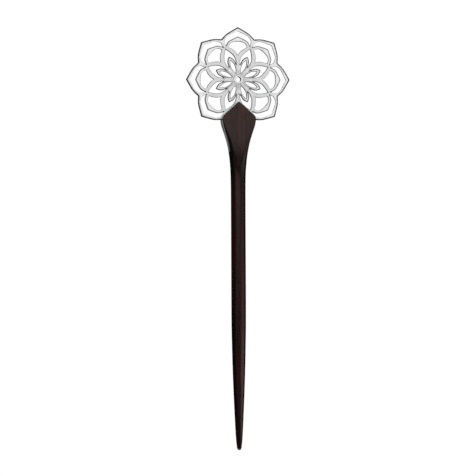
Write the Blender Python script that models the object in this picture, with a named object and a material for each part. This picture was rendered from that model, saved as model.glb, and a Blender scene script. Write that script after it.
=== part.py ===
"""A wooden hair stick that carries a pierced silver lotus in a slot in its head.

The stick lies on its back on z = 0. +Y runs along it from the point to the flower, X runs across
it, and +Z rises out of the flower's front. The origin is under the middle of the whole object.

Distances along the stick are given as millimetres below the flower's centre. The flower's outlines
are given as shares of its radius. Each repeats eight times around the centre.
"""

from math import cos, pi, radians, sin

import bpy
from mathutils import Matrix, Vector

MM = 0.001

# Driving dimensions
TOTAL_LENGTH = 180.0 * MM
FLOWER_RADIUS = 22.35 * MM
FLOWER_Y = TOTAL_LENGTH / 2 - FLOWER_RADIUS
PETALS = 8
PETAL_STEP = 2 * pi / PETALS

HEAD_THICKNESS = 7.2 * MM
PLATE_THICKNESS = 1.2 * MM
ROSETTE_THICKNESS = 0.8 * MM
FLANGE_THICKNESS = 0.45 * MM
GAP = 0.3 * MM

HUB_HOLE_RADIUS = 1.0 * MM
BARREL_RADIUS = 1.35 * MM
FLANGE_RADIUS = 2.05 * MM
PIN_RADIUS = 0.6 * MM
PIN_END_WOOD = 1.5 * MM

# Heights, from the face that the object lies on
SLOT_Z = HEAD_THICKNESS / 2
PLATE_LOW = SLOT_Z - PLATE_THICKNESS / 2
PLATE_HIGH = SLOT_Z + PLATE_THICKNESS / 2
ROSETTE_LOW = PLATE_HIGH + GAP
ROSETTE_HIGH = ROSETTE_LOW + ROSETTE_THICKNESS

# The head's two straight top edges run from the apex to the first of the sections below.
APEX = 9.5

# The stick from its shoulders to where the point starts to round off, in millimetres:
# below the flower's centre, half width, top, bottom, edge rounding across, edge rounding in height
STICK_SECTIONS = [
    (15.4, 6.72, 7.20, 0.00, 0.40, 0.50),
    (16.3, 7.10, 7.20, 0.00, 0.41, 0.52),
    (17.4, 7.16, 7.20, 0.00, 0.44, 0.58),
    (19.6, 6.80, 7.20, 0.00, 0.60, 0.80),
    (22.3, 5.98, 7.20, 0.00, 1.00, 1.35),
    (24.9, 5.25, 7.20, 0.00, 1.40, 2.00),
    (27.6, 4.60, 7.19, 0.00, 1.65, 2.60),
    (31.5, 3.93, 7.06, 0.00, 2.10, 3.00),
    (36.0, 3.48, 6.72, 0.00, 3.00, 3.15),
    (42.0, 3.20, 6.30, 0.00, 3.20, 3.12),
    (56.0, 3.12, 6.20, 0.00, 3.12, 3.10),
    (98.0, 3.12, 6.20, 0.00, 3.12, 3.10),
    (114.0, 2.92, 6.02, 0.18, 2.92, 2.92),
    (129.4, 2.49, 5.59, 0.61, 2.49, 2.49),
    (144.7, 1.84, 4.94, 1.26, 1.84, 1.84),
    (152.3, 1.42, 4.52, 1.68, 1.42, 1.42),
    (156.2, 1.05, 4.15, 2.05, 1.05, 1.05),
]
SECTION_STEPS = 3
CORNER_POINTS = 6
POINT_ROUNDING = (25, 45, 62, 76)  # degrees round the blunt point

# One petal of the plate, (across, outward) from the flower's centre
PETAL_EDGE = [(0, 1), (0.086, 0.951), (0.216, 0.870), (0.3176, 0.7668)]
CRESCENT_OUTER = [(0, 0.926), (0.084, 0.884), (0.206, 0.820), (0.256, 0.725), (0.234, 0.640)]
CRESCENT_INNER = [(0.234, 0.640), (0.184, 0.723), (0.079, 0.786), (0, 0.821)]
FAN = [(0, 0.465), (0.037, 0.522), (0.107, 0.580), (0.174, 0.622), (0.122, 0.703), (0, 0.724)]

# Openings and petals half a step round from those, (across, outward) along their own middle line
VAULT_TOP = [(0, 0.623), (0.060, 0.534), (0.099, 0.445), (0.103, 0.369)]
VAULT = [*VAULT_TOP, (0.084, 0.284), (0.055, 0.200), (0, 0.118)]
ROSETTE_EDGE = [(0, 0.467), (0.034, 0.434), (0.067, 0.380), (0.078, 0.302), (0.0995, 0.240)]
EYE = [(0, 0.384), (0.032, 0.320), (0.038, 0.262), (0.026, 0.190), (0, 0.130)]
OUTLINE_STEPS = 3
ROUND_STEPS = 32

# Where the two pins cross the lowest petal, in millimetres below the flower's centre
UPPER_PIN = 15.0
LOWER_PIN = 19.5


def clear_scene():
    for old in list(bpy.data.objects):
        bpy.data.objects.remove(old, do_unlink=True)


def material(name, color, roughness, metallic):
    made = bpy.data.materials.new(name)
    made.use_nodes = True
    shader = made.node_tree.nodes["Principled BSDF"]
    shader.inputs["Base Color"].default_value = (*color, 1)
    shader.inputs["Roughness"].default_value = roughness
    shader.inputs["Metallic"].default_value = metallic
    made.diffuse_color = (*color, 1)
    return made


def place(name, data, finish, location=(0, 0, 0)):
    piece = bpy.data.objects.new(name, data)
    piece.location = location
    data.materials.append(finish)
    bpy.context.scene.collection.objects.link(piece)
    return piece


def smooth_run(points, steps):
    """Points along a smooth curve through the given ones, which all may have any number of values."""
    points = [Vector(p) for p in points]
    ends = [2 * points[0] - points[1], *points, 2 * points[-1] - points[-2]]
    run = []
    for before, start, end, after in zip(ends, ends[1:], ends[2:], ends[3:]):
        for step in range(steps):
            t = step / steps
            bend = (2 * before - 5 * start + 4 * end - after) * t**2
            twist = (3 * start - before - 3 * end + after) * t**3
            run.append(start + ((end - before) * t + bend + twist) / 2)
    return [*run, points[-1]]


def mirrored(half):
    """A closed outline from its right half, which runs from the middle line back to it."""
    left = [Vector((-p.x, p.y)) for p in reversed(half[1:-1])]
    return [*half, *left]


def turned(outline, angle):
    spin = Matrix.Rotation(-angle, 2)
    return [spin @ p for p in outline]


def repeated(outline, start=0):
    return [turned(outline, start + n * PETAL_STEP) for n in range(PETALS)]


def petal_rim(half, start=0):
    """The flower's closed outer edge from the right half of one petal, tip to valley."""
    run = smooth_run(half, OUTLINE_STEPS)
    left = [Vector((-p.x, p.y)) for p in reversed(run[1:])]
    return [p for petal in repeated([*left, *run[:-1]], start) for p in petal]


def circle(radius):
    angles = [2 * pi * n / ROUND_STEPS for n in range(ROUND_STEPS)]
    return [Vector((radius * cos(a), radius * sin(a))) for a in angles]


def both_halves(half):
    """The right half of an outline and its mirror image, as one list of points."""
    return [*half, *[(-u, v) for u, v in reversed(half[:-1])]]


def flat_piece(name, outlines, low, high, finish):
    """A flat piece between two heights. The first outline is its edge and the others are openings."""
    shape = bpy.data.curves.new(name, "CURVE")
    shape.dimensions = "2D"
    shape.fill_mode = "BOTH"
    shape.extrude = (high - low) / 2
    for outline in outlines:
        spline = shape.splines.new("POLY")
        spline.points.add(len(outline) - 1)
        spline.use_cyclic_u = True
        for point, place_on in zip(spline.points, outline):
            point.co = (*(place_on * FLOWER_RADIUS), 0, 1)
    return place(name, shape, finish, (0, FLOWER_Y, (low + high) / 2))


def make_lotus_plate(finish):
    outer = smooth_run(CRESCENT_OUTER, OUTLINE_STEPS)
    inner = smooth_run(CRESCENT_INNER, OUTLINE_STEPS)
    crescent = [*outer[:-1], *inner]
    fan = smooth_run(both_halves(FAN), OUTLINE_STEPS)[:-1]
    vault = smooth_run(both_halves(VAULT), OUTLINE_STEPS)[:-1]
    outlines = [
        petal_rim(PETAL_EDGE),
        *repeated(mirrored(crescent)),
        *repeated(fan),
        *repeated(vault, PETAL_STEP / 2),
        circle((BARREL_RADIUS + GAP) / FLOWER_RADIUS),
    ]
    return flat_piece("lotus_plate", outlines, PLATE_LOW, PLATE_HIGH, finish)


def make_rosette(finish):
    outlines = [
        petal_rim(ROSETTE_EDGE, PETAL_STEP / 2),
        *repeated(mirrored(smooth_run(EYE, OUTLINE_STEPS)), PETAL_STEP / 2),
        circle((BARREL_RADIUS + GAP) / FLOWER_RADIUS),
    ]
    return flat_piece("rosette", outlines, ROSETTE_LOW, ROSETTE_HIGH, finish)


def turned_mesh(name, profile):
    """A ring turned about Z from (radius, height) corners that run down its outside and up its bore."""
    corners = [(*(p * radius), height) for p in circle(1) for radius, height in profile]
    count = len(profile)
    faces = []
    for turn in range(ROUND_STEPS):
        here = turn * count
        there = (turn + 1) % ROUND_STEPS * count
        for i in range(count):
            j = (i + 1) % count
            faces.append((here + i, here + j, there + j, there + i))
    mesh = bpy.data.meshes.new(name)
    mesh.from_pydata(corners, [], faces)
    mesh.shade_smooth()
    mesh.set_sharp_from_angle(angle=radians(40))
    return mesh


def make_eyelet(finish):
    """The hollow rivet through the hub: its flanges hold the rosette against the plate."""
    front = ROSETTE_HIGH + GAP
    back = PLATE_LOW - GAP
    lip = FLANGE_THICKNESS / 3
    profile = [
        (HUB_HOLE_RADIUS, front + FLANGE_THICKNESS),
        (FLANGE_RADIUS - lip, front + FLANGE_THICKNESS),
        (FLANGE_RADIUS, front + FLANGE_THICKNESS - lip),
        (FLANGE_RADIUS, front),
        (BARREL_RADIUS, front),
        (BARREL_RADIUS, back),
        (FLANGE_RADIUS, back),
        (FLANGE_RADIUS, back - FLANGE_THICKNESS + lip),
        (FLANGE_RADIUS - lip, back - FLANGE_THICKNESS),
        (HUB_HOLE_RADIUS, back - FLANGE_THICKNESS),
    ]
    return place("centre_eyelet", turned_mesh("centre_eyelet", profile), finish, (0, FLOWER_Y, 0))


def rod_mesh(name, radius, low, high):
    ends = [[(*p, z) for p in circle(radius)] for z in (low, high)]
    count = ROUND_STEPS
    sides = [(i, (i + 1) % count, count + (i + 1) % count, count + i) for i in range(count)]
    mesh = bpy.data.meshes.new(name)
    mesh.from_pydata([*ends[0], *ends[1]], [], [*sides, range(count)[::-1], range(count, 2 * count)])
    mesh.shade_smooth()
    mesh.set_sharp_from_angle(angle=radians(40))
    return mesh


def along(distance):
    """The y of a place that many millimetres below the flower's centre."""
    return FLOWER_Y - distance * MM


def section(distance, half_width, top, bottom, round_across, round_high):
    """A closed ring across the stick: flat above and below, with its four edges rounded off."""
    top = min(top, HEAD_THICKNESS / MM)
    bottom = max(bottom, 0)
    middle = (top + bottom) / 2
    reach = cos(radians(90 / CORNER_POINTS / 2))
    ring = []
    for corner in range(4):
        for n in range(CORNER_POINTS):
            angle = radians(90 * (corner + (n + 0.5) / CORNER_POINTS))
            side = 1 if cos(angle) > 0 else -1
            face = 1 if sin(angle) > 0 else -1
            x = side * (half_width - round_across) + round_across * cos(angle) / reach
            z = middle + face * ((top - bottom) / 2 - round_high) + round_high * sin(angle) / reach
            ring.append((x * MM, along(distance), z * MM))
    return ring


def point_sections(last):
    """The blunt round end past the last section of the taper."""
    distance, half_width, top, bottom, *_ = last
    length = (FLOWER_Y + TOTAL_LENGTH / 2) / MM - distance
    middle = (top + bottom) / 2
    full = sin(radians(POINT_ROUNDING[-1]))
    for angle in [radians(a) for a in POINT_ROUNDING]:
        radius = half_width * cos(angle)
        place_along = distance + length * sin(angle) / full
        yield place_along, radius, middle + radius, middle - radius, radius, radius


def stick_mesh():
    sections = smooth_run(STICK_SECTIONS, SECTION_STEPS)
    shoulder = sections[0]
    apex = (APEX, 0.12, shoulder[2], shoulder[3], 0.1, shoulder[5])
    inner_roof = (APEX + 0.45, 0.6, *shoulder[2:])
    sections = [apex, inner_roof, *sections, *point_sections(sections[-1])]
    rings = [section(*values) for values in sections]
    count = len(rings[0])
    faces = [range(count), [len(rings) * count - 1 - n for n in range(count)]]
    for start in range(0, (len(rings) - 1) * count, count):
        for i in range(count):
            j = (i + 1) % count
            faces.append((start + j, start + i, start + count + i, start + count + j))
    mesh = bpy.data.meshes.new("stick")
    mesh.from_pydata([p for ring in rings for p in ring], [], faces)
    mesh.shade_smooth()
    mesh.set_sharp_from_angle(angle=radians(40))
    return mesh


def cut(piece, name, mesh, location):
    cutter = bpy.data.objects.new(name, mesh)
    cutter.location = location
    cutter.hide_render = True
    cutter.display_type = "WIRE"
    bpy.context.scene.collection.objects.link(cutter)
    boolean = piece.modifiers.new(name, "BOOLEAN")
    boolean.operation = "DIFFERENCE"
    boolean.solver = "EXACT"
    boolean.object = cutter


def box_mesh(name, size):
    x, y, z = [side / 2 for side in size]
    corners = [(i, j, k) for i in (-x, x) for j in (-y, y) for k in (-z, z)]
    faces = [(0, 1, 3, 2), (4, 6, 7, 5), (0, 4, 5, 1), (2, 3, 7, 6), (0, 2, 6, 4), (1, 5, 7, 3)]
    mesh = bpy.data.meshes.new(name)
    mesh.from_pydata(corners, [], faces)
    return mesh


def make_stick(finish):
    """The stick, with a sawn slot for the plate and two blind holes drilled from the back."""
    stick = place("stick", stick_mesh(), finish)
    slot_end = FLOWER_Y - FLOWER_RADIUS - GAP
    slot_start = along(APEX) + GAP
    slot_size = (20 * MM, slot_start - slot_end, PLATE_THICKNESS + 2 * GAP)
    slot_place = (0, (slot_start + slot_end) / 2, SLOT_Z)
    cut(stick, "slot_cutter", box_mesh("slot_cutter", slot_size), slot_place)
    hole_end = HEAD_THICKNESS - PIN_END_WOOD
    for name, distance in (("upper_pin_hole", UPPER_PIN), ("lower_pin_hole", LOWER_PIN)):
        hole = rod_mesh(name, PIN_RADIUS + GAP, -1 * MM, hole_end)
        cut(stick, name, hole, (0, along(distance), 0))
    return stick


def make_pins(finish):
    """Two pins from the back through openings in the lowest petal, so that it can't be pulled out."""
    pin_end = HEAD_THICKNESS - PIN_END_WOOD - GAP
    for name, distance in (("upper_pin", UPPER_PIN), ("lower_pin", LOWER_PIN)):
        place(name, rod_mesh(name, PIN_RADIUS, 0.1 * MM, pin_end), finish, (0, along(distance), 0))


clear_scene()
make_stick(material("dark wood", (0.035, 0.026, 0.022), 0.35, 0))
make_lotus_plate(material("silver plate", (0.72, 0.72, 0.73), 0.25, 1))
make_rosette(material("silver rosette", (0.78, 0.78, 0.79), 0.22, 1))
make_eyelet(material("silver eyelet", (0.82, 0.82, 0.83), 0.2, 1))
make_pins(material("silver pins", (0.70, 0.70, 0.71), 0.3, 1))
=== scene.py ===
"""The looks of a wooden hair stick that carries a pierced silver lotus in its head.

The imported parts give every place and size. The fine meshes below stand for them: a carved stick
with grain, and a flower whose strands have rounded edges. +Y runs along the stick to the flower
and +Z rises out of the flower's front. Names that end in _MM are in millimetres, outlines are in
shares of the flower's radius, and everything else is in metres.
"""

from itertools import product
from math import cos, pi, radians, sin, sqrt, tan

import bmesh
import bpy
from mathutils import Matrix, Vector, geometry, kdtree


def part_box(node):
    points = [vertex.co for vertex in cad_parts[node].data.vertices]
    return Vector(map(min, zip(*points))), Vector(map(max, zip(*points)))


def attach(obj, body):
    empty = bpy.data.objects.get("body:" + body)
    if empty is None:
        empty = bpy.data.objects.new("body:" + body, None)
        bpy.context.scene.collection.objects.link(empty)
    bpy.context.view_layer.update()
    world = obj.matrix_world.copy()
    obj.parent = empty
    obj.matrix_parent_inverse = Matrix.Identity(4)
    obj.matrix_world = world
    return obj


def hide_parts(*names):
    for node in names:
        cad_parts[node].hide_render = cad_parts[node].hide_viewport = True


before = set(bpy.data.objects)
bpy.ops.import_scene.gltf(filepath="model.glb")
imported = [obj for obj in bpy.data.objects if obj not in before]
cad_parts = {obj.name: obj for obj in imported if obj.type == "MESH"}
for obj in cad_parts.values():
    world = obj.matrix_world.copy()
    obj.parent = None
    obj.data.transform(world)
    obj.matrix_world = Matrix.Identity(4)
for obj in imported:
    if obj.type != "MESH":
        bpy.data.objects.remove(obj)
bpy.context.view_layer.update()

MM = 0.001
PETALS = 8
PETAL_STEP = 2 * pi / PETALS
HALF_STEP = PETAL_STEP / 2

plate_low, plate_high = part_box("lotus_plate")
rosette_low, rosette_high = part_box("rosette")
stick_low, stick_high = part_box("stick")
FLOWER_RADIUS = (plate_high.x - plate_low.x) / 2
FLOWER_CENTRE = (plate_low + plate_high) / 2
HEAD_THICKNESS_MM = (stick_high.z - stick_low.z) / MM
POINT_MM = (FLOWER_CENTRE.y - stick_low.y) / MM
SNUG = 0.02 * MM  # clearance between pieces that touch
ROSETTE_BACK = plate_high.z + SNUG
ROSETTE_TOP = ROSETTE_BACK + (rosette_high.z - rosette_low.z)

# The stick, as it was carved, in millimetres:
# below the flower's centre, half width, top, bottom, edge rounding across, edge rounding in height
APEX_MM = 9.5
STICK_SECTIONS_MM = [
    (15.4, 6.72, 7.20, 0.00, 0.40, 0.50),
    (16.3, 7.10, 7.20, 0.00, 0.41, 0.52),
    (17.4, 7.16, 7.20, 0.00, 0.44, 0.58),
    (19.6, 6.80, 7.20, 0.00, 0.60, 0.80),
    (22.3, 5.98, 7.20, 0.00, 1.00, 1.35),
    (24.9, 5.25, 7.20, 0.00, 1.40, 2.00),
    (27.6, 4.60, 7.19, 0.00, 1.65, 2.60),
    (31.5, 3.93, 7.06, 0.00, 2.10, 3.00),
    (36.0, 3.48, 6.72, 0.00, 3.00, 3.15),
    (42.0, 3.20, 6.30, 0.00, 3.20, 3.12),
    (56.0, 3.12, 6.20, 0.00, 3.12, 3.10),
    (98.0, 3.12, 6.20, 0.00, 3.12, 3.10),
    (114.0, 2.92, 6.02, 0.18, 2.92, 2.92),
    (129.4, 2.49, 5.59, 0.61, 2.49, 2.49),
    (144.7, 1.84, 4.94, 1.26, 1.84, 1.84),
    (152.3, 1.42, 4.52, 1.68, 1.42, 1.42),
    (156.2, 1.05, 4.15, 2.05, 1.05, 1.05),
]
SECTION_STEPS = 10
CORNER_POINTS = 14
FLAT_POINTS = 5
FLAT_CROWDING = 0.35  # how far the flat's points are drawn towards its middle
HEAD_RINGS = 12
POINT_RINGS = 10
ROD_STEPS = 48

# One half of a petal of the plate, (across, outward) from the flower's centre
PETAL_EDGE = [(0, 1), (0.086, 0.951), (0.216, 0.870), (0.3176, 0.7668)]
CRESCENT_OUTER = [(0.234, 0.640), (0.256, 0.725), (0.206, 0.820), (0.084, 0.884), (0, 0.926)]
CRESCENT_INNER = [(0, 0.821), (0.079, 0.786), (0.184, 0.723), (0.234, 0.640)]
FAN = [(0, 0.465), (0.037, 0.522), (0.107, 0.580), (0.174, 0.622), (0.122, 0.703), (0, 0.724)]

# The same for what lies half a step round from there, measured along its own middle line
VAULT = [
    (0, 0.623),
    (0.060, 0.534),
    (0.099, 0.445),
    (0.103, 0.369),
    (0.084, 0.284),
    (0.055, 0.200),
    (0, 0.118),
]
ROSETTE_EDGE = [(0, 0.467), (0.034, 0.434), (0.067, 0.380), (0.078, 0.302), (0.0995, 0.240)]
EYE = [(0, 0.130), (0.026, 0.190), (0.038, 0.262), (0.032, 0.320), (0, 0.384)]
OUTLINE_STEPS = 12

# The hub's opening and the straight parts of a wedge's border, in shares of the flower's radius
VALLEY = Vector((sin(HALF_STEP), cos(HALF_STEP)))  # the way from the hub to a valley of the plate
HUB_RADIUS = 1.45 * MM / FLOWER_RADIUS
BORDER_SPACING = 0.2 * MM / FLOWER_RADIUS

# How the points inside a wedge are spread
EDGE_ROWS_MM = (0.035, 0.09, 0.16, 0.25, 0.36, 0.5)
FULL_ROWS = 3  # the rows behind these have half as many points
INNER_SPACING_MM = 0.24
INNER_ROW_PITCH = 0.866  # in spacings, for triangles with nearly equal sides
WEDGE_WIDTH = 0.4  # in shares of the radius, a little more than its real width
EDGE_SAMPLES = 6


# Shape helpers


def smooth_run(points, steps):
    """Points along a smooth curve through the given ones, which may have any number of values each."""
    points = [Vector(p) for p in points]
    ends = [2 * points[0] - points[1], *points, 2 * points[-1] - points[-2]]
    run = []
    for before, start, end, after in zip(ends, ends[1:], ends[2:], ends[3:]):
        for step in range(steps):
            t = step / steps
            bend = (2 * before - 5 * start + 4 * end - after) * t**2
            twist = (3 * start - before - 3 * end + after) * t**3
            run.append(start + ((end - before) * t + bend + twist) / 2)
    return [*run, points[-1]]


def half_of_loop(half):
    """A smooth run through one half of a closed outline, which heads on into its mirrored half."""
    mirrored = [(-u, v) for u, v in reversed(half[:-1])]
    run = smooth_run([*half, *mirrored], OUTLINE_STEPS)
    return run[: (len(half) - 1) * OUTLINE_STEPS + 1]


def straight_run(start, end):
    start, end = Vector(start), Vector(end)
    steps = max(1, round((end - start).length / BORDER_SPACING))
    return [start.lerp(end, n / steps) for n in range(steps + 1)]


def beside_valley(run):
    """A run drawn to the right of its own middle line, brought to the left of the wedge's far side."""
    spin = Matrix.Rotation(-HALF_STEP, 2)
    return [spin @ Vector((-p.x, p.y)) for p in run]


def quarter_round(distance, radius):
    """How far a rounded edge has dropped at some distance in from it."""
    if distance >= radius:
        return 0.0
    return radius - sqrt(radius**2 - (radius - distance) ** 2)


def link(name, mesh, finish):
    piece = bpy.data.objects.new(name, mesh)
    mesh.materials.append(finish)
    bpy.context.scene.collection.objects.link(piece)
    return piece


def stand_for(piece, node):
    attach(piece, "root")
    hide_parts(node)


# The flower. One sixteenth of it is filled with points and mirrored and turned into the whole.


class Wedge:
    """A sixteenth of the flower, from one petal's middle line to the valley beside it."""

    def __init__(self):
        self.border = []
        self.shade_shares = []

    def add(self, run, shade_share=None):
        """Carries the border on along a run of points. It is a line of symmetry, or, where it is given
        a share of painted shade, a cut edge whose painted dark line is that deep."""
        start = 1 if self.border else 0
        self.border += run[start:]
        self.shade_shares += [shade_share] * (len(run) - 1)

    def is_edge(self, i):
        return self.shade_shares[i] is not None

    def finish(self):
        """Drops the last point, which is the first one again."""
        self.border.pop()

    def contains(self, point):
        """Whether a line from the point to the right crosses the border an odd number of times."""
        inside = False
        for a, b in zip(self.border, [*self.border[1:], self.border[0]]):
            if (a.y > point.y) != (b.y > point.y):
                if point.x < a.x + (point.y - a.y) / (b.y - a.y) * (b.x - a.x):
                    inside = not inside
        return inside

    def edge_tree(self):
        """A tree that finds the nearest cut edge, from points much closer together than the mesh's."""
        samples = []
        for i in range(len(self.border)):
            if self.is_edge(i):
                a = self.border[i]
                b = self.border[(i + 1) % len(self.border)]
                samples += [(a.lerp(b, n / EDGE_SAMPLES), i) for n in range(EDGE_SAMPLES + 1)]
        tree = kdtree.KDTree(len(samples))
        for p, i in samples:
            tree.insert((p.x, p.y, 0), i)
        tree.balance()
        return tree

    def inner_points(self, tree):
        """Rows close behind each cut edge for its rounding, then an even spread over the rest."""
        unit = MM / FLOWER_RADIUS
        own_edge = 0.93  # a point nearer than this share of its offset belongs to another edge
        least_gap = 0.08 * unit
        found = []
        count = len(self.border)
        for row, offset in enumerate(EDGE_ROWS_MM):
            for i in range(0, count, 1 if row < FULL_ROWS else 2):
                if not self.is_edge(i):
                    continue
                a = self.border[i]
                b = self.border[(i + 1) % count]
                along = (b - a).normalized()
                middle = a.lerp(b, 0.5)
                for side in (1, -1):
                    point = middle + Vector((-along.y, along.x)) * (side * offset * unit)
                    if tree.find((point.x, point.y, 0))[2] > own_edge * offset * unit:
                        found.append(point)
        spacing = INNER_SPACING_MM * unit
        past_rows = (EDGE_ROWS_MM[-1] + 0.1) * unit
        for row in range(round(1 / (spacing * INNER_ROW_PITCH))):
            for column in range(round(WEDGE_WIDTH / spacing)):
                across = (column + row % 2 / 2 + 0.25) * spacing
                point = Vector((across, row * spacing * INNER_ROW_PITCH))
                if tree.find((point.x, point.y, 0))[2] > past_rows:
                    found.append(point)
        return [p for p in found if self.contains(p) and self.clear_of_symmetry(p, least_gap)]

    def clear_of_symmetry(self, point, least):
        """Whether a point is at least so far from both of the wedge's lines of symmetry."""
        return point.x > least and point.x * cos(HALF_STEP) - point.y * sin(HALF_STEP) < -least


def filled(wedge):
    """The wedge's points and triangles, each point's distance in from the nearest cut edge in
    millimetres, and how dark the shade painted along that edge is."""
    tree = wedge.edge_tree()
    border = len(wedge.border)
    points = [*wedge.border, *wedge.inner_points(tree)]
    edges = [(i, (i + 1) % border) for i in range(border)]
    placed, _, faces, *_ = geometry.delaunay_2d_cdt(points, edges, [], 0, 1e-7, False)
    faces = [f for f in faces if wedge.contains(sum((placed[i] for i in f), Vector((0, 0))) / 3)]
    nearest = [tree.find((p.x, p.y, 0)) for p in placed]
    inset = [distance * FLOWER_RADIUS / MM for _, _, distance in nearest]
    shade_shares = [wedge.shade_shares[edge] for _, edge, _ in nearest]
    return placed, faces, inset, shade_shares


def flower_mesh(name, wedge, front, back, painted_shade):
    """Turns and mirrors the wedge round the hub. front and back give a height in metres, and the shade
    function a share of painted shade, for a place in the wedge, its distance in millimetres from the
    nearest cut edge, and that edge's share of painted shade."""
    placed, faces, inset, shade_shares = filled(wedge)
    border = len(wedge.border)
    count = len(placed)
    walls = [(i, (i + 1) % border) for i in range(border) if wedge.is_edge(i)]
    shares = [painted_shade(*spot) for spot in zip(placed, inset, shade_shares)]
    corners, shells = [], []
    for copy in range(2 * PETALS):
        flip = -1 if copy % 2 else 1
        spin = Matrix.Rotation(-PETAL_STEP * (copy // 2), 2)
        for surface in (front, back):
            for p, d, shade_share in zip(placed, inset, shade_shares):
                spot = spin @ Vector((flip * p.x, p.y)) * FLOWER_RADIUS
                corners.append((spot.x, spot.y + FLOWER_CENTRE.y, surface(p, d, shade_share)))
        start = 2 * count * copy
        fresh = [[start + i for i in f] for f in faces]
        fresh += [[start + count + i for i in reversed(f)] for f in faces]
        fresh += [[start + i, start + count + i, start + count + j, start + j] for i, j in walls]
        shells += fresh if flip == 1 else [f[::-1] for f in fresh]
    mesh = bpy.data.meshes.new(name)
    mesh.from_pydata(corners, [], shells)
    # painted shade: how far each point's silver is darkened, for dark edge lines and a grey hub
    shade_share = mesh.attributes.new("painted_shade", "FLOAT", "POINT")
    shade_share.data.foreach_set("value", shares * (2 * 2 * PETALS))  # front and back of every copy
    welded(mesh, 0.002 * MM)
    mesh.shade_smooth()
    mesh.set_sharp_from_angle(angle=radians(55))
    return mesh


def welded(mesh, distance):
    """Joins corners that are closer than the distance, and turns every face outwards."""
    work = bmesh.new()
    work.from_mesh(mesh)
    bmesh.ops.remove_doubles(work, verts=work.verts, dist=distance)
    bmesh.ops.recalc_face_normals(work, faces=work.faces)
    work.to_mesh(mesh)
    work.free()


def hub_rim():
    """The wedge's stretch of the hub's round opening, from the valley to the petal's middle line."""
    return [Vector((sin(a), cos(a))) * HUB_RADIUS for a in (HALF_STEP, HALF_STEP / 2, 0)]


def plate_wedge():
    """Each cut edge's share of painted shade is how dark the line painted along it is: darkest round
    the petals.
    """
    fan = half_of_loop(FAN)
    vault = beside_valley(half_of_loop(VAULT))
    wedge = Wedge()
    wedge.add(straight_run((0, HUB_RADIUS), fan[0]))
    wedge.add(fan, shade_share=0.25)
    wedge.add(straight_run(fan[-1], CRESCENT_INNER[0]))
    wedge.add(smooth_run(CRESCENT_INNER, OUTLINE_STEPS), shade_share=0.7)
    wedge.add(smooth_run(CRESCENT_OUTER, OUTLINE_STEPS), shade_share=0.0)
    wedge.add(straight_run(CRESCENT_OUTER[-1], PETAL_EDGE[0]))
    wedge.add(smooth_run(PETAL_EDGE, OUTLINE_STEPS), shade_share=1.0)
    wedge.add(straight_run(PETAL_EDGE[-1], vault[0]))
    wedge.add(vault, shade_share=0.45)
    wedge.add(straight_run(vault[-1], VALLEY * HUB_RADIUS))
    wedge.add(hub_rim(), shade_share=0.0)
    wedge.finish()
    return wedge


def rosette_wedge():
    """The middle line of the rosette's petal is the plate's valley, and the wedge's left side is the
    valley between two of the rosette's petals."""
    edge = beside_valley(smooth_run(ROSETTE_EDGE, OUTLINE_STEPS))
    edge[-1] = Vector((0, edge[-1].length))
    eye = beside_valley(half_of_loop(EYE))
    wedge = Wedge()
    wedge.add(straight_run((0, HUB_RADIUS), edge[-1]))
    wedge.add(edge[::-1], shade_share=1.0)
    wedge.add(straight_run(edge[0], eye[-1]))
    wedge.add(eye[::-1], shade_share=0.6)
    wedge.add(straight_run(eye[0], VALLEY * HUB_RADIUS))
    wedge.add(hub_rim(), shade_share=0.0)
    wedge.finish()
    return wedge


def fade(value, start, end):
    """0 before start and 1 past end, with a smooth change between."""
    t = min(1, max(0, (value - start) / (end - start)))
    return t * t * (3 - 2 * t)


def plate_front(place, inset, shade_share):
    """Flat, with its cut edges rounded off, the wider the darker their painted shade."""
    return plate_high.z - quarter_round(inset, 0.02 + 0.14 * shade_share) * MM


def plate_back(place, inset, shade_share):
    return plate_low.z + quarter_round(inset, 0.12) * MM


def plate_painted_shade(place, inset, shade_share):
    """Painted shade: a dark line along each dark edge, over a grey that is deepest at the hub, lighter
    along the ribs and gone towards the petals' tips, and a soft grey beside all but the outer edges."""
    line = shade_share * (1 - fade(inset, 0.12 + 0.3 * shade_share, 0.24 + 0.42 * shade_share))
    hub_shade = 0.34 * (1 - fade(place.length, 0.08, 0.26))
    rib_shade = 0.2 * (1 - fade(place.length, 0.6, 0.8))
    soft = 0.12 * (1 - fade(inset, 0.1, 0.45)) * (1 - fade(place.length, 0.8, 0.9))
    return max(line, max(hub_shade, rib_shade) + soft)


def rosette_front(place, inset, shade_share):
    """Its petals slope down towards their tips, and a groove runs down to the valley between them."""
    radius = 0.05 + 0.12 * shade_share
    slope = 0.18 * fade(place.length, 0.2, 0.5)
    groove = 0.1 * fade(place.length, 0.1, 0.22) * (1 - fade(place.x, 0.01, 0.065))
    return ROSETTE_TOP - (quarter_round(inset, radius) * valley_open(place) + slope + groove) * MM


def valley_open(place):
    """0 on the line of the valley, where the rosette runs out over the plate, and 1 off it."""
    return fade(place.x, 0.02, 0.045)


def rosette_back(place, inset, shade_share):
    return ROSETTE_BACK


def rosette_painted_shade(place, inset, shade_share):
    """Painted shade: a dark line along each edge, wider at the petals' roots, over a light grey that
    deepens at the hub.
    """
    root_widening = 1 + 0.4 * (1 - fade(abs(place.length - 0.285), 0.01, 0.04))
    line = shade_share * (1 - fade(inset, (0.12 + 0.12 * shade_share) * root_widening, (0.24 + 0.22 * shade_share) * root_widening))
    line *= valley_open(place)
    return max(line, 0.08 + 0.26 * (1 - fade(place.length, 0.08, 0.24)))


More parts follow.
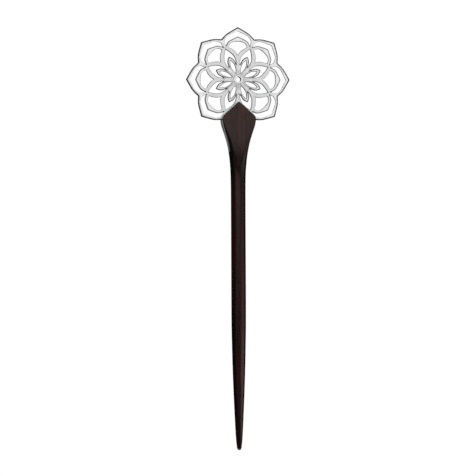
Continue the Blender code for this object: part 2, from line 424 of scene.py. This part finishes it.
def lathe_mesh(name, profile_mm, steps=96):
    """A ring turned about the hub from (radius, height) corners in millimetres, closed on itself."""
    corners = []
    for n in range(steps):
        angle = 2 * pi * n / steps
        corners += [(r * cos(angle) * MM, r * sin(angle) * MM, z * MM) for r, z in profile_mm]
    count = len(profile_mm)
    faces = []
    for n in range(steps):
        here = n * count
        there = (n + 1) % steps * count
        for i in range(count):
            j = (i + 1) % count
            faces.append((here + i, here + j, there + j, there + i))
    mesh = bpy.data.meshes.new(name)
    mesh.from_pydata(corners, [], faces)
    mesh.shade_smooth()
    mesh.set_sharp_from_angle(angle=radians(50))
    return mesh


def arc(centre, radius, start, end, steps):
    """Points round part of a circle, from one angle to another in degrees."""
    angles = [radians(start + (end - start) * n / steps) for n in range(steps + 1)]
    return [(centre[0] + radius * cos(a), centre[1] + radius * sin(a)) for a in angles]


def make_eyelet(finish):
    """A hollow rivet: rolled flanges in front of the rosette and behind the plate. Its radii and
    heights here are in millimetres."""
    bore = 1.12
    barrel = 1.43
    crown = 1.5
    crown_rise = 0.02
    flange = 2.05
    lip = 0.14
    mouth = 0.08
    front = (ROSETTE_TOP + SNUG) / MM
    back = (plate_low.z - SNUG) / MM
    front_top = front + 2 * lip
    back_low = back - 2 * lip
    profile = [
        *arc((bore + mouth, front_top - mouth), mouth, 180, 90, 8),
        (crown, front_top + crown_rise),
        *arc((flange - lip, front + lip), lip, 90, -90, 10),
        (barrel, front),
        (barrel, back),
        *arc((flange - lip, back - lip), lip, 90, -90, 10),
        *arc((bore + mouth, back_low + mouth), mouth, 270, 180, 8),
    ]
    piece = link("hub_eyelet", lathe_mesh("hub_eyelet", profile), finish)
    piece.location.y = FLOWER_CENTRE.y
    stand_for(piece, "centre_eyelet")


def make_flower(plate_finish, rosette_finish, eyelet_finish):
    mesh = flower_mesh("lotus_openwork", plate_wedge(), plate_front, plate_back, plate_painted_shade)
    plate = link("lotus_openwork", mesh, plate_finish)
    stand_for(plate, "lotus_plate")
    mesh = flower_mesh("raised_rosette", rosette_wedge(), rosette_front, rosette_back, rosette_painted_shade)
    rosette = link("raised_rosette", mesh, rosette_finish)
    stand_for(rosette, "rosette")
    make_eyelet(eyelet_finish)


# The stick


def section_ring(values):
    """A ring across the stick: flat above and below, with its four edges rounded off."""
    distance, half_width, top, bottom, round_across, round_high = values
    top = min(top, HEAD_THICKNESS_MM)
    bottom = max(bottom, 0)
    middle = (top + bottom) / 2
    across = half_width - round_across
    high = (top - bottom) / 2 - round_high

    def on_edge(corner, degrees):
        """A place on the rounding of one of the four edges, counted from the upper right one."""
        side = 1 if corner % 4 in (0, 3) else -1
        face = 1 if corner % 4 in (0, 1) else -1
        angle = radians(degrees)
        return side * across + round_across * cos(angle), face * high + round_high * sin(angle)

    ring = []
    for corner in range(4):
        for n in range(CORNER_POINTS):
            ring.append(on_edge(corner, 90 * (corner + (n + 0.5) / CORNER_POINTS)))
        last = ring[-1]
        goal = on_edge(corner + 1, 90 * (corner + 1) + 45 / CORNER_POINTS)
        for n in range(1, FLAT_POINTS + 1):
            t = n / (FLAT_POINTS + 1)
            t += FLAT_CROWDING * sin(2 * pi * t) / (2 * pi)
            ring.append(tuple(a + (b - a) * t for a, b in zip(last, goal)))
    y = FLOWER_CENTRE.y - distance * MM
    return [(x * MM, y, (middle + z) * MM) for x, z in ring]


def point_sections(last):
    """Round rings from the last section to the blunt point. The last one stops just short of it, so
    that it keeps a width."""
    distance, half_width, top, bottom, *_ = last
    middle = (top + bottom) / 2
    for n in range(1, POINT_RINGS + 1):
        angle = radians(88 * n / POINT_RINGS)
        radius = half_width * cos(angle)
        reach = distance + (POINT_MM - distance) * sin(angle)
        yield reach, radius, middle + radius, middle - radius, radius, radius


def head_sections(shoulder):
    """From the apex to the shoulder the sides run straight. The rings crowd towards the apex."""
    distance, half_width, top, bottom, round_across, round_high = shoulder
    apex_half_width = 0.1
    for n in range(HEAD_RINGS):
        t = (n / HEAD_RINGS) ** 1.3
        width = apex_half_width + (half_width - apex_half_width) * t
        edge = min(round_across, width * 0.9)
        yield APEX_MM + (distance - APEX_MM) * t, width, top, bottom, edge, round_high


def stick_mesh():
    sections = smooth_run(STICK_SECTIONS_MM, SECTION_STEPS)
    sections = [*head_sections(sections[0]), *sections, *point_sections(sections[-1])]
    rings = [section_ring(values) for values in sections]
    count = len(rings[0])
    faces = [list(range(count)), [len(rings) * count - 1 - n for n in range(count)]]
    for start in range(0, (len(rings) - 1) * count, count):
        for i in range(count):
            j = (i + 1) % count
            faces.append((start + j, start + i, start + count + i, start + count + j))
    mesh = bpy.data.meshes.new("carved_stick")
    mesh.from_pydata([p for ring in rings for p in ring], [], faces)
    return mesh


def rod_mesh(name, radius, low, high, chamfer=0.0):
    """A round rod along Z, with its two ends chamfered if a chamfer is given."""
    profile = [(radius, low), (radius, high)]
    if chamfer:
        narrow = radius - chamfer
        profile = [(narrow, low), (radius, low + chamfer), (radius, high - chamfer), (narrow, high)]
    corners = []
    for r, z in profile:
        angles = [2 * pi * n / ROD_STEPS for n in range(ROD_STEPS)]
        corners += [(r * cos(angle), r * sin(angle), z) for angle in angles]
    faces = [list(range(ROD_STEPS))[::-1], list(range(len(corners) - ROD_STEPS, len(corners)))]
    for here in range(0, len(corners) - ROD_STEPS, ROD_STEPS):
        there = here + ROD_STEPS
        for n in range(ROD_STEPS):
            after = (n + 1) % ROD_STEPS
            faces.append((here + n, here + after, there + after, there + n))
    mesh = bpy.data.meshes.new(name)
    mesh.from_pydata(corners, [], faces)
    mesh.shade_smooth()
    mesh.set_sharp_from_angle(angle=radians(30))
    return mesh


def box_mesh(name, low, high):
    corners = list(product(*zip(low, high)))
    faces = [(0, 1, 3, 2), (4, 6, 7, 5), (0, 4, 5, 1), (2, 3, 7, 6), (0, 2, 6, 4), (1, 5, 7, 3)]
    mesh = bpy.data.meshes.new(name)
    mesh.from_pydata(corners, [], faces)
    return mesh


def cut_away(piece, cutters):
    """Cuts the meshes out of the piece and leaves a plain mesh."""
    helpers = []
    for mesh, place in cutters:
        helper = bpy.data.objects.new("cutter", mesh)
        helper.location = place
        bpy.context.scene.collection.objects.link(helper)
        boolean = piece.modifiers.new("cut", "BOOLEAN")
        boolean.solver = "EXACT"
        boolean.object = helper
        helpers.append(helper)
    graph = bpy.context.evaluated_depsgraph_get()
    piece.data = bpy.data.meshes.new_from_object(piece.evaluated_get(graph))
    piece.modifiers.clear()
    for helper in helpers:
        bpy.data.objects.remove(helper)


def make_stick(finish):
    stick = link("carved_stick", stick_mesh(), finish)
    past_the_head = 10 * MM
    slot_low = (-past_the_head, plate_low.y - 0.1 * MM, plate_low.z - SNUG)
    slot_high = (past_the_head, FLOWER_CENTRE.y, plate_high.z + SNUG)
    cutters = [(box_mesh("slot", slot_low, slot_high), (0, 0, 0))]
    for node in ("upper_pin", "lower_pin"):
        low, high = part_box(node)
        radius = (high.x - low.x) / 2 + SNUG
        hole = rod_mesh("pin_hole", radius, -MM, high.z + SNUG)
        cutters.append((hole, (0, (low.y + high.y) / 2, 0)))
    cut_away(stick, cutters)
    stick.data.shade_smooth()
    stick.data.set_sharp_from_angle(angle=radians(35))
    stick.modifiers.new("even normals", "WEIGHTED_NORMAL").keep_sharp = True
    stand_for(stick, "stick")


def make_pins(finish):
    for node in ("upper_pin", "lower_pin"):
        low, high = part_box(node)
        radius = (high.x - low.x) / 2
        name = node + "_turned"
        pin = link(name, rod_mesh(name, radius, low.z, high.z, chamfer=0.08 * MM), finish)
        pin.location.y = (low.y + high.y) / 2
        stand_for(pin, node)


# Materials


class Nodes:
    """Short calls for building a material's node tree."""

    def __init__(self, name):
        self.material = bpy.data.materials.new(name)
        self.material.use_nodes = True
        self.tree = self.material.node_tree
        self.shader = self.tree.nodes["Principled BSDF"]
        self.place = self.add("ShaderNodeTexCoord").outputs["Object"]

    def add(self, kind, **settings):
        node = self.tree.nodes.new(kind)
        for name, value in settings.items():
            setattr(node, name, value)
        return node

    def join(self, source, target):
        self.tree.links.new(source, target)

    def noise(self, stretch, detail=4, roughness=0.5, distortion=0.0, start=0.0):
        """Noise whose grains have the given lengths, in millimetres, along X, Y and Z. start moves
        the pattern along X by so many grains."""
        mapping = self.add("ShaderNodeMapping")
        mapping.inputs["Scale"].default_value = [1 / (MM * length) for length in stretch]
        mapping.inputs["Location"].default_value.x = start
        self.join(self.place, mapping.inputs["Vector"])
        noise = self.add("ShaderNodeTexNoise")
        noise.inputs["Scale"].default_value = 1
        noise.inputs["Detail"].default_value = detail
        noise.inputs["Roughness"].default_value = roughness
        noise.inputs["Distortion"].default_value = distortion
        self.join(mapping.outputs["Vector"], noise.inputs["Vector"])
        return noise.outputs["Fac"]

    def ramp(self, source, stops):
        ramp = self.add("ShaderNodeValToRGB")
        elements = ramp.color_ramp.elements
        while len(elements) < len(stops):
            elements.new(0.5)
        for element, (position, color) in zip(elements, stops):
            element.position = position
            element.color = (*color, 1) if isinstance(color, tuple) else (color, color, color, 1)
        self.join(source, ramp.inputs["Fac"])
        return ramp.outputs["Color"]

    def mix(self, kind, factor, a, b):
        mix = self.add("ShaderNodeMix", data_type="RGBA", blend_type=kind)
        for socket, source in (("Factor", factor), ("A", a), ("B", b)):
            target = mix.inputs[socket]
            if isinstance(source, bpy.types.NodeSocket):
                self.join(source, target)
            else:
                target.default_value = source
        return mix.outputs["Result"]

    def spread(self, source, low, high):
        """Maps 0 to 1 onto low to high."""
        spread = self.add("ShaderNodeMapRange")
        spread.inputs["To Min"].default_value = low
        spread.inputs["To Max"].default_value = high
        self.join(source, spread.inputs["Value"])
        return spread.outputs["Result"]

    def bump(self, height, distance, before=None):
        bump = self.add("ShaderNodeBump")
        bump.inputs["Distance"].default_value = distance
        self.join(height, bump.inputs["Height"])
        if before:
            self.join(before, bump.inputs["Normal"])
        return bump.outputs["Normal"]


def dark_wood():
    """Near-black oiled wood: reddish and greenish-black streaks along Y, fine pores, a soft polish.
    streak_start puts a reddish streak along the middle of the head."""
    streak_start = 3.7
    n = Nodes("oiled dark wood")
    streaks = n.noise((1.6, 60, 1.6), detail=5, roughness=0.6, distortion=0.3, start=streak_start)
    fibres = n.noise((0.28, 9, 0.28), detail=4, roughness=0.65, distortion=0.2)
    pores = n.noise((0.11, 2.2, 0.11), detail=2)
    tone = n.ramp(
        streaks,
        [
            (0.42, (0.001, 0.006, 0.004)),
            (0.5, (0.014, 0.007, 0.006)),
            (0.6, (0.07, 0.014, 0.011)),
        ],
    )
    fine = n.ramp(fibres, [(0.3, 0.55), (0.7, 1.0)])
    open_pores = n.ramp(pores, [(0.34, 0.35), (0.42, 1.0)])
    color = n.mix("MULTIPLY", 1.0, tone, fine)
    color = n.mix("MULTIPLY", 0.8, color, open_pores)
    n.join(color, n.shader.inputs["Base Color"])
    n.join(n.spread(fibres, 0.32, 0.2), n.shader.inputs["Roughness"])
    grain = n.bump(fibres, 0.012 * MM)
    n.join(n.bump(open_pores, 0.02 * MM, grain), n.shader.inputs["Normal"])
    n.shader.inputs["IOR"].default_value = 1.6
    n.shader.inputs["Specular Tint"].default_value = (0.83, 0.61, 0.565, 1)
    return n.material


def silver(name, bright, dark, roughness):
    """Polished metal, from its bright grey to its dark one as the mesh's painted shade goes from 0 to
    1.
    """
    n = Nodes(name)
    blotches = n.noise((2.5, 2.5, 2.5), detail=3)
    scratches = n.noise((0.12, 1.4, 0.5), detail=3, roughness=0.6, distortion=0.6)
    # the mesh's share of painted shade: dark lines along the cut edges and a grey hub
    shade_share = n.add("ShaderNodeAttribute", attribute_name="painted_shade").outputs["Fac"]
    body = n.mix("MIX", shade_share, (bright, bright, bright * 1.01, 1), (dark, dark, dark * 1.02, 1))
    shade = n.ramp(blotches, [(0.3, 0.92), (0.7, 1.0)])
    n.join(n.mix("MULTIPLY", 1.0, body, shade), n.shader.inputs["Base Color"])
    n.shader.inputs["Metallic"].default_value = 1.0
    n.join(n.spread(scratches, roughness - 0.05, roughness + 0.07), n.shader.inputs["Roughness"])
    n.join(n.bump(scratches, 0.0015 * MM), n.shader.inputs["Normal"])
    return n.material


# Camera, floor and light

VIEW_TILT = radians(10)  # the view comes from a little to the left of straight above
VIEW_ROLL = radians(0.25)  # and leans the stick by this much
LENS_MM = 180
SENSOR_MM = 36
VIEW_WIDTH = 202.5 * MM
VIEW_TARGET = Vector((-0.25 * MM, 0.3 * MM, FLOWER_CENTRE.z))


def aimed(direction, up):
    """The turn that makes an object's -Z look along direction with its Y near up."""
    back = -Vector(direction).normalized()
    right = Vector(up).cross(back).normalized()
    return Matrix((right, back.cross(right), back)).transposed().to_euler()


def make_camera():
    data = bpy.data.cameras.new("camera")
    data.lens = LENS_MM
    data.sensor_width = SENSOR_MM
    data.clip_start = 0.01
    camera = bpy.data.objects.new("camera", data)
    reach = VIEW_WIDTH / 2 / tan(data.angle / 2)
    away = Vector((-sin(VIEW_TILT), 0, cos(VIEW_TILT)))
    camera.location = VIEW_TARGET + away * reach
    camera.rotation_euler = aimed(-away, (sin(VIEW_ROLL), cos(VIEW_ROLL), 0))
    bpy.context.scene.collection.objects.link(camera)
    bpy.context.scene.camera = camera


def make_floor():
    """A floor that the camera sees as pure white, without shadows. It sends little light back up."""
    reach = 2
    depth = 0.02
    mesh = box_mesh("floor", (-reach, -reach, -depth), (reach, reach, 0))
    floor = link("floor", mesh, floor_finish())


def floor_finish():
    n = Nodes("pale floor")
    n.shader.inputs["Base Color"].default_value = (0.05, 0.05, 0.05, 1)
    n.shader.inputs["Roughness"].default_value = 0.9
    n.shader.inputs["Specular IOR Level"].default_value = 0.0
    n.shader.inputs["Emission Color"].default_value = (1, 1, 1, 1)
    seen = n.add("ShaderNodeLightPath").outputs["Is Camera Ray"]
    n.join(n.spread(seen, 0.0, 1.0), n.shader.inputs["Emission Strength"])
    return n.material


def make_world():
    """White to the camera and dim to everything else, so that the softboxes shape the metal."""
    world = bpy.data.worlds.new("studio")
    world.use_nodes = True
    tree = world.node_tree
    sky = tree.nodes["Background"]
    sky.inputs["Color"].default_value = (1, 1, 1, 1)
    path = tree.nodes.new("ShaderNodeLightPath")
    strength = tree.nodes.new("ShaderNodeMapRange")
    strength.inputs["To Min"].default_value = 0.02
    strength.inputs["To Max"].default_value = 1.0
    tree.links.new(path.outputs["Is Camera Ray"], strength.inputs["Value"])
    tree.links.new(strength.outputs["Result"], sky.inputs["Strength"])
    bpy.context.scene.world = world


def softbox(name, centre, facing, size, radiance, up=(0, 1, 0)):
    """A soft rectangular light that the camera doesn't see. radiance is its brightness beside a
    white of 1."""
    data = bpy.data.lights.new(name, "AREA")
    data.shape = "RECTANGLE"
    data.size, data.size_y = size
    data.energy = radiance * pi * size[0] * size[1]
    lamp = bpy.data.objects.new(name, data)
    lamp.location = centre
    lamp.rotation_euler = aimed(facing, up)
    lamp.visible_camera = False
    bpy.context.scene.collection.objects.link(lamp)


def arched_softbox(name, left, right, low, high, radiance):
    """A softbox half a metre from the stick, facing it. left and right are its sides in degrees from
    straight above, positive to the left, and low and high are its ends along Y."""
    away = 0.5
    middle = radians((left + right) / 2)
    width = 2 * away * tan(radians((left - right) / 2))
    outward = Vector((-sin(middle), 0, cos(middle)))
    centre = outward * away + Vector((0, (low + high) / 2, HEAD_THICKNESS_MM / 2 * MM))
    softbox(name, centre, -outward, (width, high - low), radiance)


def standing_softbox(name, x, y, size, radiance):
    """A softbox that stands on the floor and faces the flower."""
    facing = (-x, FLOWER_CENTRE.y - y, 0)
    softbox(name, (x, y, size[1] / 2 + 0.01), facing, size, radiance, up=(0, 0, 1))


def make_light():
    """Bright over the flower and the head, dimmer towards the shaft's upper half, and a second bright
    box low on the right that only the shaft's lower half mirrors. The standing boxes light the views
    from the sides, and stand where the round shaft doesn't mirror them to a camera above it. A small
    glowing card on the floor, left of the head, puts a pale strip on the head's left side."""
    arched_softbox("overhead", 45, -30, 0.05, 0.20, 1.15)
    arched_softbox("overhead_edge", 45, -30, 0.0, 0.05, 0.65)
    arched_softbox("left_strip", 50, 20, -0.06, 0.0, 0.29)
    arched_softbox("right_fill", -45, -90, -0.06, 0.03, 0.3)
    arched_softbox("right", -30, -90, -0.20, -0.06, 1.1)
    standing_softbox("far_wall", 0, 0.8, (2.4, 0.7), 0.6)
    standing_softbox("near_wall", 0, -0.8, (2.4, 0.7), 0.6)
    standing_softbox("left_wall", -0.4, 0.26, (0.34, 0.3), 0.6)
    standing_softbox("right_wall", 0.4, 0.26, (0.34, 0.3), 0.6)
    card = (-8.5 * MM, FLOWER_CENTRE.y - 20 * MM, 0.15 * MM)
    softbox("bounce_card", card, (0, 0, 1), (9 * MM, 22 * MM), 0.55)


make_camera()
make_world()
make_floor()
make_light()
make_stick(dark_wood())
# each silver goes from its own bright grey to the dark grey of its painted shade
make_flower(
    silver("silver plate", 0.97, 0.05, 0.26),
    silver("silver rosette", 0.95, 0.04, 0.26),
    silver("silver eyelet", 0.92, 0.3, 0.26),
)
make_pins(silver("silver pins", 0.8, 0.3, 0.3))
bpy.context.scene.view_settings.view_transform = "Standard"
